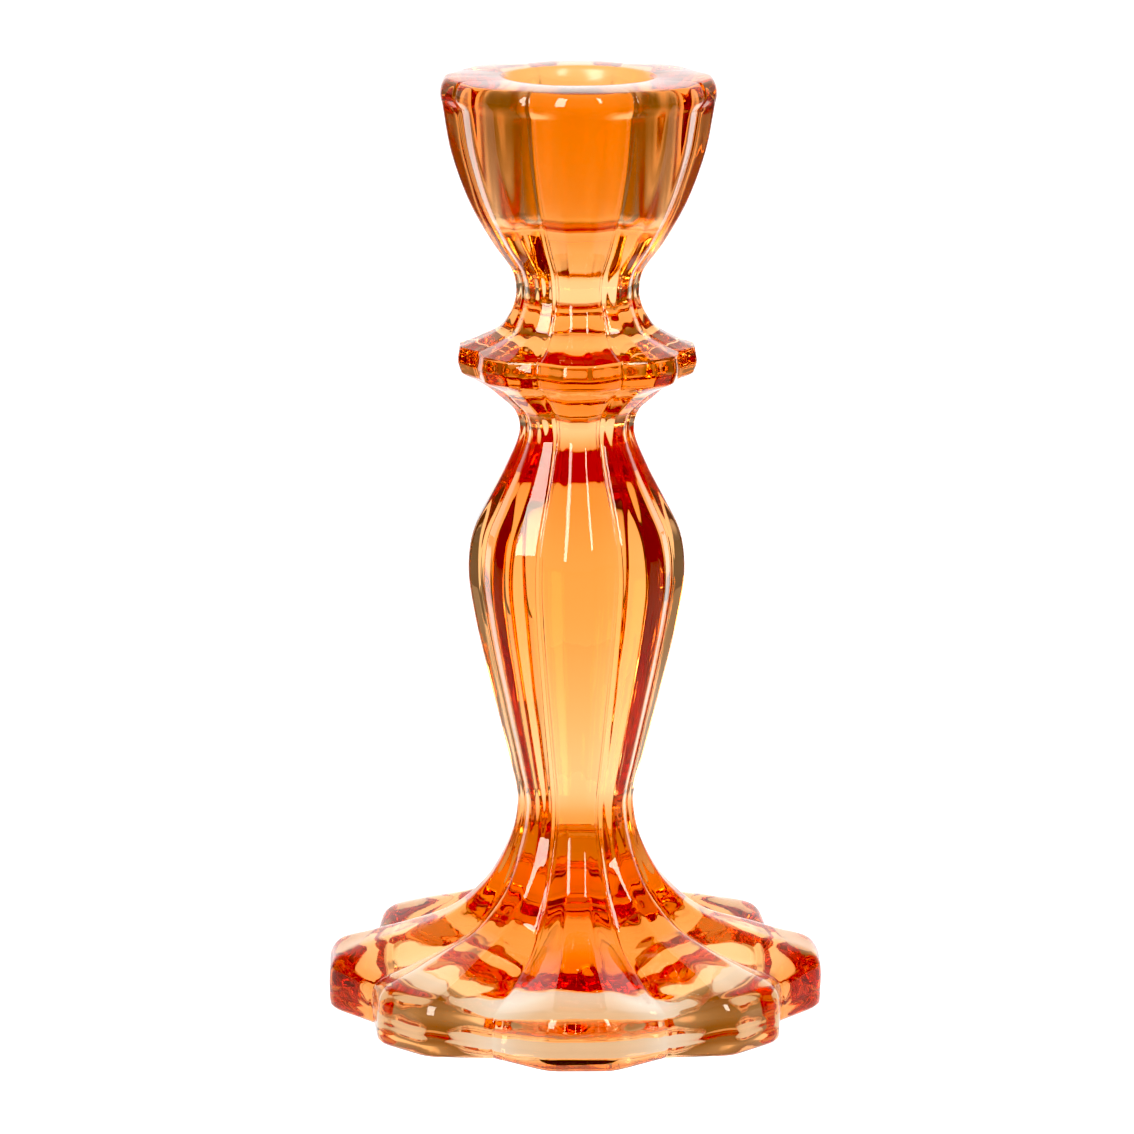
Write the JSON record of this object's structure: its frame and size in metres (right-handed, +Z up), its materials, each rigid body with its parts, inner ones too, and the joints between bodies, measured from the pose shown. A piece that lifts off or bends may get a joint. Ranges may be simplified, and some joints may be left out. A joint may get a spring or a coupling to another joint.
{
  "type": "glass candlestick",
  "caption": "Pressed amber glass candlestick: fluted cup with a dinner-candle socket, lobed knop, tapering fluted baluster stem and a scalloped ribbed foot.",
  "frame": {"origin": "on the table plane at the axis, in the middle of the foot", "axes": "+Z up along the axis, with one of the eight ribs facing -Y"},
  "size_m": [0.0878, 0.0878, 0.165],
  "materials": {
    "amber_glass": "clear, fire-polished, tinted amber-orange through its whole thickness"
  },
  "bodies": {
    "root": {"foot": "amber_glass", "baluster": "amber_glass", "knop": "amber_glass", "candle_cup": "amber_glass"}
  },
  "joints": []
}
